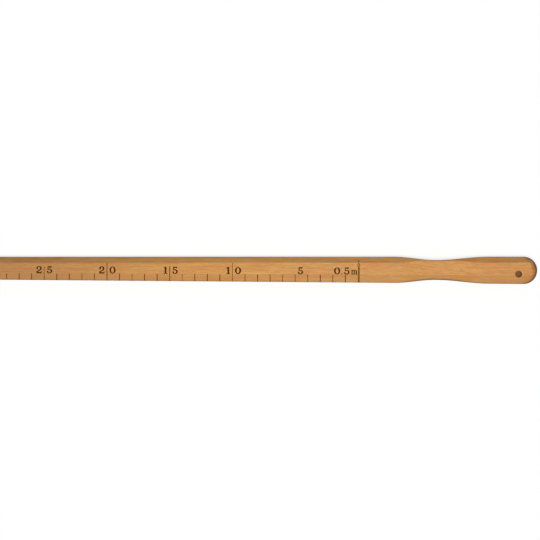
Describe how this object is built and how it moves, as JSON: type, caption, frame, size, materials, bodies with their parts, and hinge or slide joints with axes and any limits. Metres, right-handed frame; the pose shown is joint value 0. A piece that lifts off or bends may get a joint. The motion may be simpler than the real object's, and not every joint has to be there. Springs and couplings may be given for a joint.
{
  "type": "measuring stick",
  "caption": "Flat wooden measuring stick with a centimetre scale, one bevelled edge, a waisted handle and a hanging hole.",
  "frame": {"origin": "on the back face, on the centre line, at the zero of the scale", "axes": "+X along the stick towards the handle's round end, so the scale runs to -X; +Y towards the bevelled edge, with the graduated edge at -Y; +Z out of the front face, which carries the scale"},
  "size_m": [0.643, 0.0218, 0.009],
  "materials": {
    "beech": "satin",
    "ink": "matte",
    "brass": "satin"
  },
  "bodies": {
    "root": {"wooden_bar": "beech", "tip_cap": "brass", "tip_pins": "brass", "zero_mark": "ink", "length_mark": "ink", "centimetre_lines": "ink", "five_centimetre_lines": "ink", "ten_centimetre_lines": "ink", "numeral_05": "ink", "numeral_10": "ink", "numeral_15": "ink", "numeral_20": "ink", "numeral_25": "ink", "numeral_30": "ink", "numeral_35": "ink", "numeral_40": "ink", "numeral_45": "ink"}
  },
  "joints": []
}
